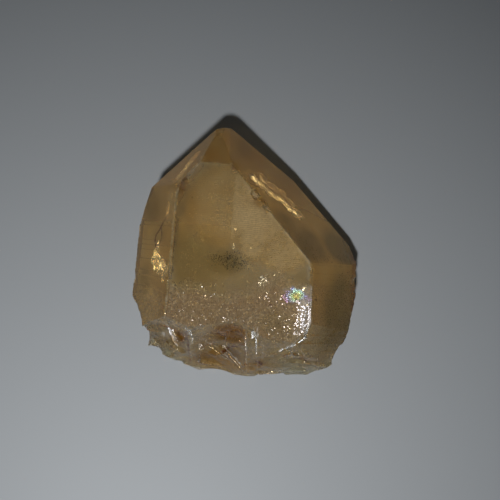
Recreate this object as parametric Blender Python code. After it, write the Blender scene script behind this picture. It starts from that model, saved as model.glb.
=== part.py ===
"""Citrine crystal point: one natural quartz crystal with one termination, lying on a prism face.

Units are metres and +Z is up. The crystal's long axis (its c axis) lies along +Y, tip towards +Y,
and the prism face that it rests on is at Z = 0. The origin is at the bottom centre of its box.
"""
import itertools
import math
import random

import bmesh
import bpy
from mathutils import Matrix, Vector

MM = 0.001

# Crystal faces. Each is (azimuth, pitch, distance): the azimuth is measured about the c axis from
# straight up towards +X, the pitch is how far the face leans towards the tip, both in degrees, and
# the distance is from the crystal's own centre line at table level.
PRISM_FACES = {
    "prism_top": (0.0, 1.5, 20.85 * MM),
    "prism_right_upper": (57.0, 4.5, 19.75 * MM),
    "prism_right_lower": (120.0, 2.0, 11.57 * MM),
    "prism_rest": (180.0, 0.0, 0.0),
    "prism_left_lower": (-120.0, 1.0, 9.87 * MM),
    "prism_left_upper": (-59.4, 1.0, 20.33 * MM),
}
TIP_FACES = {
    "rhomb_small_top": (0.0, 38.2, 24.22 * MM),
    "rhomb_large_right": (56.4, 38.8, 15.04 * MM),
    "rhomb_large_left": (-61.8, 36.4, 21.30 * MM),
    "rhomb_small_right": (121.0, 42.8, 9.86 * MM),
    "rhomb_large_under": (180.0, 39.2, 2.24 * MM),
    "rhomb_small_left": (-121.8, 43.0, 10.69 * MM),
    "shoulder_left": (-98.0, 18.9, 15.80 * MM),
    "worn_tip": (8.0, 57.3, 23.48 * MM),
}
BREAK_FACES = {
    "break_left": (-7.2, -68.2, 19.50 * MM),
    "break_left_foot": (-63.4, -71.4, 21.34 * MM),
    "break_right": (21.8, -74.9, 20.55 * MM),
    "break_right_shoulder": (52.0, -35.7, 23.52 * MM),
    "break_right_side": (91.2, -10.1, 19.10 * MM),
    "break_right_foot": (90.0, -54.9, 23.28 * MM),
}

# Edges: every edge is a little worn, and the one between the top and left prism faces is flatter.
WORN_EDGE = 0.16 * MM
FLAT_EDGE = 0.50 * MM
FLAT_EDGE_FACES = ("prism_top", "prism_left_upper")

# Growth ledges: shallow steps across the side faces, square to the c axis, and fainter ones on top.
LEDGE_FIRST = -15.0 * MM
LEDGE_LAST_RIGHT = -1.6 * MM
LEDGE_LAST_LEFT = 3.6 * MM
LEDGE_SPACING = 1.25 * MM
LEDGE_RISER = 0.14 * MM
LEDGE_DEPTH = 0.08 * MM
LEDGE_RADIUS = 17.0 * MM
LEDGE_TOP_SHARE = 0.2
LEDGE_SEED = 11

# Hollows broken out of the crystal, in millimetres. Each is (centre, outward normal, half widths,
# depth, ripple height): the centre lies on the face before it broke, and the half widths run across
# and up that face.
HOLLOWS = {
    "flute_left": ((-12.3, -15.7, 12.0), (-0.12, -1.0, 0.40), (5.3, 17.0), 1.50, 0.05),
    "flute_middle": ((-3.1, -16.1, 12.0), (-0.03, -1.0, 0.40), (4.7, 17.0), 1.15, 0.04),
    "flute_right": ((9.6, -17.5, 12.0), (0.12, -1.0, 0.27), (6.3, 17.0), 1.15, 0.05),
    "notch_top": ((-0.9, -13.2, 19.6), (-0.02, -0.92, 0.40), (4.6, 4.4), 1.60, 0.03),
    "notch_low": ((-7.4, -18.9, 5.0), (-0.15, -1.0, 0.30), (3.2, 4.6), 0.75, 0.03),
    "side_left": ((-17.6, -15.5, 8.5), (-1.0, 0.0, 0.05), (6.8, 11.0), 3.50, 0.07),
    "side_right": ((17.4, -14.9, 4.5), (0.92, -0.38, 0.0), (3.4, 7.0), 1.95, 0.03),
    "front_scar": ((5.0, -9.3, 20.95), (0.07, -0.07, 1.0), (6.0, 5.8), 0.85, 0.012),
    "front_scar_high": ((8.0, -6.0, 20.95), (0.03, 0.02, 1.0), (3.0, 2.4), 0.30, 0.0),
    "front_pit": ((-11.2, -12.6, 20.9), (-0.30, -0.60, 0.75), (2.7, 2.6), 0.95, 0.0),
    "front_pit_low": ((-8.9, -13.6, 19.9), (0.20, -0.85, 0.50), (1.7, 2.4), 0.55, 0.0),
    "shoulder_chip": ((12.4, -12.6, 18.0), (0.60, -0.60, 0.52), (2.4, 1.8), 0.45, 0.0),
    "edge_chip_high": ((-2.9, 13.2, 20.45), (0.30, 0.40, 0.86), (0.75, 0.55), 0.28, 0.0),
    "edge_chip_middle": ((0.7, 8.7, 20.60), (0.35, 0.30, 0.88), (0.70, 1.10), 0.32, 0.0),
    "edge_chip_low": ((2.9, 6.9, 20.65), (0.35, 0.30, 0.88), (1.15, 0.80), 0.30, 0.0),
    "side_chip": ((18.2, -3.2, 8.9), (1.0, 0.05, 0.12), (0.60, 1.30), 0.25, 0.0),
    "side_chip_high": ((18.0, 1.2, 8.6), (0.85, 0.40, 0.20), (0.90, 0.60), 0.22, 0.0),
    "left_chip": ((-17.5, -5.6, 10.4), (-1.0, 0.0, 0.10), (0.70, 1.50), 0.25, 0.0),
    "foot_chip": ((6.0, -20.1, 0.8), (0.10, -0.85, -0.50), (2.2, 0.8), 0.40, 0.0),
}
HOLLOW_CAP = 0.35
RIPPLE_SPACING = 2.1
RIPPLE_STRETCH = 1.25
LARGE_HOLLOW = 2.8
SPHERE_SEGMENTS = 36
SPHERE_RINGS = 52
CHIP_SEGMENTS = 12
CHIP_RINGS = 8

# Small shells flaked off the broken base, at uneven places over it, in millimetres. Each leans out of
# the surface, so that one side of it is a step and the other runs out to nothing.
FLAKE_COLUMNS = (-13.5, -10.0, -5.5, -2.0, 2.2, 6.0, 9.5, 13.5)
FLAKE_ROWS = (3.5, 9.0, 14.5)
FLAKE_JITTER = 1.7
FLAKE_HALF_WIDTHS = (1.2, 2.6)
FLAKE_DEPTH_SHARE = 0.17
FLAKE_LEAN = 0.34
FLAKE_SEED = 5
BREAK_REACH = 40.0

BLANK_SIZE = 120.0 * MM
SAME_POINT = 0.002 * MM


def clear_scene():
    """Take every object out of the scene."""
    for item in list(bpy.data.objects):
        bpy.data.objects.remove(item, do_unlink=True)


def face_plane(azimuth, pitch, distance):
    """Return a crystal face's outward normal and its distance."""
    turn = math.radians(azimuth)
    lean = math.radians(pitch)
    across = math.cos(lean)
    normal = Vector((across * math.sin(turn), math.sin(lean), across * math.cos(turn)))
    return normal, distance


def bevel_plane(first, second, width):
    """Return the plane that takes the edge between two faces down to a strip of the given width."""
    total = first[0] + second[0]
    normal = total.normalized()
    half_angle = math.acos(max(-1.0, min(1.0, normal.dot(first[0]))))
    depth = 0.5 * width * math.tan(half_angle)
    distance = (first[1] + second[1]) / total.length - depth
    return normal, distance


def cut_off(mesh, normal, distance):
    """Remove what lies beyond a plane and close the cut with one face."""
    parts = list(mesh.verts) + list(mesh.edges) + list(mesh.faces)
    bmesh.ops.bisect_plane(
        mesh,
        geom=parts,
        dist=SAME_POINT / 10,
        plane_co=normal * distance,
        plane_no=normal,
        clear_outer=True,
    )
    rim = [edge for edge in mesh.edges if edge.is_boundary]
    if rim:
        bmesh.ops.contextual_create(mesh, geom=rim)


def faceted_body():
    """Cut the crystal's faces, then its worn edges, from a large block."""
    mesh = bmesh.new()
    bmesh.ops.create_cube(mesh, size=BLANK_SIZE)
    names = {**PRISM_FACES, **TIP_FACES, **BREAK_FACES}
    planes = {name: face_plane(*values) for name, values in names.items()}
    for plane in planes.values():
        cut_off(mesh, *plane)
    for first, second in itertools.combinations(planes, 2):
        if planes[first][0].dot(planes[second][0]) > -0.6:
            flat = {first, second} == set(FLAT_EDGE_FACES)
            width = FLAT_EDGE if flat else WORN_EDGE
            cut_off(mesh, *bevel_plane(planes[first], planes[second], width))
    return mesh


def ledge_levels():
    """Return where each growth ledge starts and how deep it is, the same on every run."""
    dice = random.Random(LEDGE_SEED)
    levels = []
    place = LEDGE_FIRST
    while place < LEDGE_LAST_LEFT:
        levels.append((place, LEDGE_DEPTH * dice.uniform(0.4, 1.4)))
        place += LEDGE_SPACING * dice.uniform(0.6, 1.5)
    return levels


def ledge_inset(y, levels, last):
    """Return how far in from the plain face the surface lies at a height y along the crystal."""
    starts = [level for level, _ in levels] + [LEDGE_LAST_LEFT + LEDGE_SPACING]
    for (start, depth), end in zip(levels, starts[1:]):
        if start > last:
            return 0.0
        if start <= y <= start + LEDGE_RISER:
            return depth * (y - start) / LEDGE_RISER
        if start + LEDGE_RISER < y < end:
            return depth * (end - y) / (end - start - LEDGE_RISER)
    return 0.0


def add_ledges(mesh):
    """Cut the body across at each ledge and draw the rings between the cuts in towards the middle."""
    levels = ledge_levels()
    cuts = [level for level, _ in levels]
    cuts += [level + LEDGE_RISER for level in cuts]
    cuts.append(LEDGE_LAST_LEFT + LEDGE_SPACING)
    for cut in cuts:
        parts = list(mesh.verts) + list(mesh.edges) + list(mesh.faces)
        place = Vector((0.0, cut, 0.0))
        bmesh.ops.bisect_plane(mesh, geom=parts, dist=SAME_POINT / 10, plane_co=place, plane_no=(0.0, 1.0, 0.0))
    for vertex in mesh.verts:
        last = LEDGE_LAST_LEFT if vertex.co.x < 0.0 else LEDGE_LAST_RIGHT
        inset = ledge_inset(vertex.co.y, levels, last) / LEDGE_RADIUS
        vertex.co.x *= 1.0 - inset
        vertex.co.z *= 1.0 - inset * LEDGE_TOP_SHARE


def face_axes(normal):
    """Return a matrix whose columns run across a face, out of it, and up it."""
    out = Vector(normal).normalized()
    guide = Vector((0.0, 0.0, 1.0)) if abs(out.z) < 0.7 else Vector((0.0, 1.0, 0.0))
    across = out.cross(guide).normalized()
    up = across.cross(out)
    return Matrix((across, out, up)).transposed()


def hollow_cutter(name, centre, normal, half_widths, depth, ripple):
    """Make the rippled ellipsoid that breaks one shell-shaped hollow out of the crystal."""
    large = max(half_widths) > LARGE_HOLLOW
    segments = SPHERE_SEGMENTS if large else CHIP_SEGMENTS
    rings = SPHERE_RINGS if large else CHIP_RINGS
    rim = math.sqrt(1.0 - (1.0 - HOLLOW_CAP) ** 2)
    radii = Vector((half_widths[0] / rim, depth / HOLLOW_CAP, half_widths[1] / rim))
    ball = bmesh.new()
    bmesh.ops.create_uvsphere(ball, u_segments=segments, v_segments=rings, radius=1.0)
    axes = face_axes(normal)
    middle = Vector(centre) + Vector(normal).normalized() * (radii.y - depth)
    for vertex in ball.verts:
        polar = math.acos(max(-1.0, min(1.0, vertex.co.z)))
        turns = polar**RIPPLE_STRETCH * radii.z / RIPPLE_SPACING
        swell = 1.0 + ripple / radii.y * math.cos(2.0 * math.pi * turns)
        local = Vector([vertex.co[i] * radii[i] for i in range(3)])
        local.y *= swell
        vertex.co = (middle + axes @ local) * MM
    return mesh_object("cutter_" + name, ball)


def base_flakes(body):
    """Return the small hollows of the broken base, each placed where a line along +Y meets it."""
    dice = random.Random(FLAKE_SEED)
    flakes = {}
    for column, row in itertools.product(FLAKE_COLUMNS, FLAKE_ROWS):
        x = column + dice.uniform(-FLAKE_JITTER, FLAKE_JITTER)
        z = row + dice.uniform(-FLAKE_JITTER, FLAKE_JITTER)
        wide = dice.uniform(*FLAKE_HALF_WIDTHS)
        tall = dice.uniform(*FLAKE_HALF_WIDTHS)
        turn = dice.uniform(0.0, 2.0 * math.pi)
        lean = Vector((math.cos(turn), 0.0, math.sin(turn))) * FLAKE_LEAN
        start = Vector((x, -BREAK_REACH, z)) * MM
        found, place, normal, _ = body.ray_cast(start, Vector((0.0, 1.0, 0.0)))
        if found:
            depth = FLAKE_DEPTH_SHARE * min(wide, tall)
            name = f"flake_{len(flakes):02d}"
            flakes[name] = (tuple(place / MM), tuple(normal + lean), (wide, tall), depth, 0.0)
    return flakes


def mesh_object(name, mesh):
    """Turn a bmesh into a named object in the scene."""
    data = bpy.data.meshes.new(name)
    mesh.to_mesh(data)
    mesh.free()
    item = bpy.data.objects.new(name, data)
    bpy.context.scene.collection.objects.link(item)
    return item


def break_hollows(body, hollows):
    """Cut the given hollows out of the body and bake the result into its mesh."""
    cutters = []
    for name, values in hollows.items():
        cutter = hollow_cutter(name, *values)
        cutter.hide_render = True
        cutter.display_type = "WIRE"
        cutters.append(cutter)
        cut = body.modifiers.new("cut_" + name, "BOOLEAN")
        cut.operation = "DIFFERENCE"
        cut.solver = "EXACT"
        cut.object = cutter
    bpy.context.view_layer.update()
    view = bpy.context.evaluated_depsgraph_get()
    result = bpy.data.meshes.new_from_object(body.evaluated_get(view))
    body.modifiers.clear()
    body.data = result
    for cutter in cutters:
        bpy.data.objects.remove(cutter, do_unlink=True)


def tidy_mesh(body):
    """Merge doubled points, split the faces into triangles and drop slivers."""
    mesh = bmesh.new()
    mesh.from_mesh(body.data)
    bmesh.ops.remove_doubles(mesh, verts=mesh.verts, dist=SAME_POINT)
    bmesh.ops.triangulate(mesh, faces=mesh.faces)
    bmesh.ops.dissolve_degenerate(mesh, dist=SAME_POINT, edges=mesh.edges)
    bmesh.ops.triangulate(mesh, faces=mesh.faces)
    bmesh.ops.recalc_face_normals(mesh, faces=mesh.faces)
    mesh.to_mesh(body.data)
    mesh.free()


def centre_on_origin(body):
    """Move the mesh so that the origin is at the bottom centre of its box."""
    points = [vertex.co for vertex in body.data.vertices]
    low = Vector([min(point[i] for point in points) for i in range(3)])
    high = Vector([max(point[i] for point in points) for i in range(3)])
    middle = Vector(((low.x + high.x) / 2, (low.y + high.y) / 2, low.z))
    body.data.transform(Matrix.Translation(-middle))
    size = (high - low) / MM
    print(f"crystal: {size.x:.2f} x {size.y:.2f} x {size.z:.2f} mm, {len(body.data.polygons)} triangles")
    print(f"moved by {-middle.x / MM:.3f}, {-middle.y / MM:.3f}, {-middle.z / MM:.3f} mm")


def citrine():
    """Make the clear, warm brown-yellow quartz material."""
    material = bpy.data.materials.new("citrine")
    material.use_nodes = True
    shader = material.node_tree.nodes["Principled BSDF"]
    shader.inputs["Base Color"].default_value = (0.56, 0.36, 0.13, 1.0)
    shader.inputs["Roughness"].default_value = 0.08
    shader.inputs["Metallic"].default_value = 0.0
    shader.inputs["IOR"].default_value = 1.544
    shader.inputs["Transmission Weight"].default_value = 0.85
    return material


def build_crystal():
    """Make the crystal: faces, ledges, broken base and chips, in one solid."""
    mesh = faceted_body()
    add_ledges(mesh)
    crystal = mesh_object("citrine_crystal", mesh)
    break_hollows(crystal, HOLLOWS)
    break_hollows(crystal, base_flakes(crystal))
    tidy_mesh(crystal)
    centre_on_origin(crystal)
    crystal.data.materials.clear()
    crystal.data.materials.append(citrine())
    return crystal


clear_scene()
build_crystal()
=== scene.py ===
# %% [markdown]
# # Citrine crystal point
#
# This notebook dresses one natural quartz crystal. The solid model gives its faces, its broken base
# and its size. Here it gets the fine surface, the colour inside the stone, its veils and cracks, and
# the light that shows them. The crystal lies on its back, point away from the viewer, and the camera
# looks straight down on it.

# %% Load the solid model
import math
import random

import bmesh
import bpy
import numpy as np
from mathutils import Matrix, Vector, bvhtree, geometry, noise


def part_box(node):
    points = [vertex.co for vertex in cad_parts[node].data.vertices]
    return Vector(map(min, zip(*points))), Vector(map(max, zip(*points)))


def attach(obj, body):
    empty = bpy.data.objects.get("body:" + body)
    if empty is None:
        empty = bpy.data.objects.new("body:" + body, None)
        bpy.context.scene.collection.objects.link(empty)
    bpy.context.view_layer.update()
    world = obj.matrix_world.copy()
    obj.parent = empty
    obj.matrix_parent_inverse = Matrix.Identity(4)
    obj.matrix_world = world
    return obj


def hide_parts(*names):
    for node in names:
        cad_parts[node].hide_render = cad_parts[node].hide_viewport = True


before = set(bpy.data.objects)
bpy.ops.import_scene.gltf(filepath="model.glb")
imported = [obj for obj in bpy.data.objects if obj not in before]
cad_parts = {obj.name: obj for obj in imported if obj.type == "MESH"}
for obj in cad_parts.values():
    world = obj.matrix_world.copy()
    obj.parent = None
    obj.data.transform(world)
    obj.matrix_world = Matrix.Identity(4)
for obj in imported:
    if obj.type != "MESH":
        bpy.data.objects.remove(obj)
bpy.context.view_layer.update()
MM = 0.001
NODE = "citrine_crystal"
low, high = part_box(NODE)
print("crystal box in mm:", [round(v / MM, 1) for v in low], [round(v / MM, 1) for v in high])

# %% [markdown]
# ## Small tools
#
# Blender's shaders work in linear light, while colours are easiest to choose as web colours. One
# function turns a hex colour into linear values. Another adds a node with its settings and links in
# one go, so that each material and each node tree below reads as a recipe.


# %% A colour from its hex name
def linear(hex_colour):
    """Turn an sRGB hex colour such as '#c08030' into linear RGBA."""
    values = [int(hex_colour[i : i + 2], 16) / 255 for i in (1, 3, 5)]
    return [v / 12.92 if v <= 0.04045 else ((v + 0.055) / 1.055) ** 2.4 for v in values] + [1.0]


# %% A node with its settings and links
def add(tree, kind, inputs=(), **settings):
    """Add a node. Its inputs, in order or by name, are values, or nodes and sockets to link from."""
    node = tree.nodes.new(kind)
    for key, value in settings.items():
        setattr(node, key, value)
    named = inputs if isinstance(inputs, dict) else dict(enumerate(inputs))
    for key, value in named.items():
        if isinstance(value, bpy.types.Node):
            value = value.outputs[0]
        if isinstance(value, bpy.types.NodeSocket):
            tree.links.new(value, node.inputs[key])
        else:
            node.inputs[key].default_value = value
    return node


def new_object(name, data):
    """Add an object with some data to the scene."""
    made = bpy.data.objects.new(name, data)
    bpy.context.scene.collection.objects.link(made)
    return made


def new_material(name):
    """Make an empty node material and return it with its tree and its output node."""
    material = bpy.data.materials.new(name)
    material.use_nodes = True
    tree = material.node_tree
    tree.nodes.clear()
    output = add(tree, "ShaderNodeOutputMaterial")
    return material, tree, output


def plain_finish(name, colour, roughness, metallic=0.0):
    """Make a one-colour finish, for things too plain or too small to show a pattern."""
    material, tree, output = new_material(name)
    finish = {"Base Color": linear(colour), "Roughness": roughness, "Metallic": metallic}
    shader = add(tree, "ShaderNodeBsdfPrincipled", finish)
    tree.links.new(shader.outputs[0], output.inputs["Surface"])
    return material


# %% [markdown]
# ## Camera
#
# The crystal is looked at from straight above, from 22 cm away. The camera is turned by five degrees
# about its own axis, so the crystal's point leans to the right in the frame.

# %% Camera above the crystal
CAMERA_HEIGHT = 220 * MM
CAMERA_X = 0.245 * MM
CAMERA_Y = 1.129 * MM
CAMERA_ROLL = math.radians(5.0)
LENS_MM = 93.9
SENSOR_MM = 36.0

camera_data = bpy.data.cameras.new("camera")
camera_data.lens = LENS_MM
camera_data.sensor_width = SENSOR_MM
camera_data.clip_start = 1 * MM
camera = new_object("camera", camera_data)
camera.location = (CAMERA_X, CAMERA_Y, CAMERA_HEIGHT)
camera.rotation_euler = (0.0, 0.0, CAMERA_ROLL)
bpy.context.scene.camera = camera
print("camera", round(camera.location.z / MM), "mm up, lens", LENS_MM, "mm")

# %% [markdown]
# ## Floor and light
#
# A clear stone shows what is under it, so the floor matters as much as the lamp. It is a plain, pale
# grey sheet. A small soft lamp stands far above and a little below the camera's view, so the crystal's
# shadow falls as a thin dark rim beyond its point. The sky light fills the rest.

# %% Floor
FLOOR_GAP = 0.15 * MM
FLOOR_HALF = 2.5
FLOOR_COLOUR = "#a9aeb2"
FLOOR_ROUGHNESS = 0.6


def make_floor():
    """Make the sheet that the crystal lies on. Laminate is smooth but dull, so it shows no reflections."""
    data = bpy.data.meshes.new("floor")
    corners = [(-1, -1), (1, -1), (1, 1), (-1, 1)]
    points = [(x * FLOOR_HALF, y * FLOOR_HALF, -FLOOR_GAP) for x, y in corners]
    data.from_pydata(points, [], [(0, 1, 2, 3)])
    data.materials.append(plain_finish("pale laminate sheet", FLOOR_COLOUR, FLOOR_ROUGHNESS))
    floor = new_object("floor", data)
    return floor


floor = make_floor()
print("floor", 2 * FLOOR_HALF, "m across")

# %% Lamp and sky
LAMP = Vector((-37.0, -135.0, 600.0))
LAMP_TARGET = Vector((-15.0, -55.0, 0.0))
LAMP_SIZE = 30 * MM
LAMP_WATTS = 0.055
LAMP_SPREAD = math.radians(26.0)
SKY_COLOUR = "#b9c0c8"
SKY_STRENGTH = 0.06

lamp_data = bpy.data.lights.new("key lamp", "AREA")
lamp_data.size = LAMP_SIZE
lamp_data.energy = LAMP_WATTS
lamp_data.spread = LAMP_SPREAD
lamp = new_object("key lamp", lamp_data)
lamp.location = LAMP * MM
lamp.rotation_euler = (LAMP_TARGET - LAMP).to_track_quat("-Z", "Y").to_euler()
world = bpy.data.worlds.new("soft sky")
world.use_nodes = True
background = world.node_tree.nodes["Background"]
background.inputs["Color"].default_value = linear(SKY_COLOUR)
background.inputs["Strength"].default_value = SKY_STRENGTH
bpy.context.scene.world = world
bpy.context.scene.view_settings.view_transform = "Standard"
print("lamp", LAMP_WATTS, "W at", [round(v) for v in LAMP], "mm")

# %% [markdown]
# ## Where the marks are
#
# Quartz has no cleavage. It breaks in shell-like curves with fine steps between them, and the steps are
# bruised white. That white is partly a painted highlight, for the bright lines that the steps catch.
# Each step is a line of points seen from above, then its half width, its strength and how deep it cuts.
# Edges and cracks are written the same way, and the whitish worn edges are partly painted edge glow.
# Stains and milky places are soft blobs, given by a centre, half widths, a strength and the direction of
# the face that shows them. Some blobs are painted light: a golden glow and deeper amber shade on the tip
# and side faces, and a bluish-white sparkle on the scar. All lengths are in mm. Written as places on the
# stone, the marks are easy to move, and every later step can ask how close a point is to them.

# %% Steps on the broken end, seen from above
STEPS = {
    "left slash": ([(-11.7, -11.8), (-11.0, -13.6), (-10.3, -15.7)], 0.15, 1.0, 0.25),
    "left slash twin": ([(-11.2, -12.8), (-10.4, -14.2), (-9.8, -15.8)], 0.12, 0.5, 0.12),
    "left claw": ([(-8.7, -11.3), (-7.9, -12.8), (-7.5, -14.8)], 0.14, 0.7, 0.20),
    "left claw tip": ([(-8.9, -12.0), (-8.3, -13.2)], 0.12, 0.6, 0.20),
    "left ridge": ([(-7.8, -13.4), (-7.9, -16.0), (-7.8, -18.5)], 0.16, 0.35, 0.10),
    "fan upper": ([(-6.4, -13.8), (-4.6, -14.6), (-1.9, -16.9)], 0.11, 0.7, 0.12),
    "fan lower": ([(-3.0, -14.7), (-1.0, -16.6), (0.5, -18.4)], 0.11, 1.0, 0.16),
    "column left": ([(0.6, -10.6), (1.0, -14.7), (1.4, -19.3)], 0.14, 0.4, 0.10),
    "column right": ([(2.4, -10.9), (2.6, -13.5), (3.2, -19.3)], 0.12, 0.4, 0.10),
    "column flash": ([(1.9, -10.8), (2.0, -12.4)], 0.13, 1.0, 0.25),
    "column flash twin": ([(2.4, -10.6), (2.5, -12.6)], 0.13, 1.0, 0.25),
    "scar rim": ([(10.1, -3.6), (10.4, -9.0), (9.7, -11.3), (8.2, -12.8), (6.3, -14.5)], 0.13, 1.0, 0.12),
    "right fan": ([(9.4, -13.6), (10.8, -15.6), (12.6, -17.0)], 0.12, 0.4, 0.10),
    "blob": ([(-6.4, -15.0), (-6.3, -15.8)], 0.28, 1.0, 0.30),
    "corner spot": ([(-12.5, -13.4), (-12.4, -13.9)], 0.30, 0.8, 0.25),
    # Painted sparkle: a whitish stripe that cuts no depth, along the scar's band of sparks
    "painted scar sparkle": ([(9.4, -4.4), (9.3, -8.5), (8.7, -10.8)], 0.80, 0.30, 0.0),
    # Painted glow: the whitish bottom rim stands for light through the thin edge, over a shallow cut
    "bottom rim": ([(-8.0, -19.4), (-3.0, -19.9), (3.0, -20.0), (7.5, -18.4)], 0.16, 0.45, 0.05),
}

# %% Worn edges, whose whitish line is partly painted edge glow, and dark cracks, seen from above
EDGES = {
    "left of the point": ([(-8.0, 15.9), (-8.6, 13.8), (-10.3, 12.1), (-11.8, 10.4)], 0.22, 0.6),
    "left of the front": ([(-11.7, 9.8), (-11.9, 4.2), (-11.6, -4.0), (-12.0, -11.5)], 0.20, 0.55),
    "right of the point": ([(-3.7, 14.2), (-0.4, 10.0), (0.9, 8.3), (2.9, 7.2)], 0.14, 0.4),
    "right of the front": ([(2.9, 7.2), (5.5, 4.5), (9.8, -0.1), (10.1, -3.5)], 0.27, 0.85),
    "right streak": ([(12.6, -5.4), (13.0, -7.2)], 0.10, 0.5),
    "top of the front": ([(-8.6, 13.8), (-3.7, 14.2)], 0.12, 0.25),
    "right shoulder": ([(9.9, -0.2), (13.6, -0.2), (17.5, -0.2)], 0.14, 0.3),
}
CRACKS = {
    "leaf outer": (
        [(-13.0, 5.2), (-13.6, 4.1), (-14.0, 3.1), (-14.6, 2.2), (-14.7, 1.1), (-14.3, 0.0)], 0.10, 1.0
    ),
    "leaf inner": ([(-14.3, 0.0), (-13.8, 0.9), (-13.6, 2.3), (-13.8, 3.4)], 0.09, 0.7),
    "base crack": ([(-2.9, -15.9), (-1.8, -14.9), (-0.6, -14.4), (0.5, -13.9)], 0.20, 1.0),
    "column side": ([(0.5, -13.9), (0.9, -15.9), (0.8, -18.4)], 0.16, 0.8),
    "scar crack": ([(3.4, -7.0), (6.0, -7.0), (7.1, -6.5), (8.6, -6.0), (9.8, -5.2)], 0.12, 0.7),
    "dot": ([(11.0, -5.6), (11.1, -5.7)], 0.16, 1.0),
    "scratch": ([(-8.8, 2.3), (-8.1, 3.0), (-7.4, 3.8)], 0.05, 0.5),
    "speck": ([(-9.2, 8.4), (-9.15, 8.3)], 0.08, 0.7),
    "lower speck": ([(5.9, 0.4), (6.0, 0.35)], 0.08, 0.8),
    "seam": ([(-8.6, -12.6), (-8.3, -15.5), (-8.1, -18.3)], 0.22, 0.9),
}
EDGE_LEVEL = 8.0

# %% Soft marks, each on the faces that point one way
FRONT = (0.0, 0.03, 1.0)
TIP_FRONT = (0.0, 0.62, 0.79)
TIP_LEFT = (-0.71, 0.59, 0.38)
TIP_RIGHT = (0.65, 0.63, 0.43)
LEFT = (-0.86, 0.0, 0.51)
RIGHT = (0.84, 0.05, 0.54)
ANY = None
FACE_SPREAD = 0.93

EVERYWHERE = (60.0, 60.0, 60.0)

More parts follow.
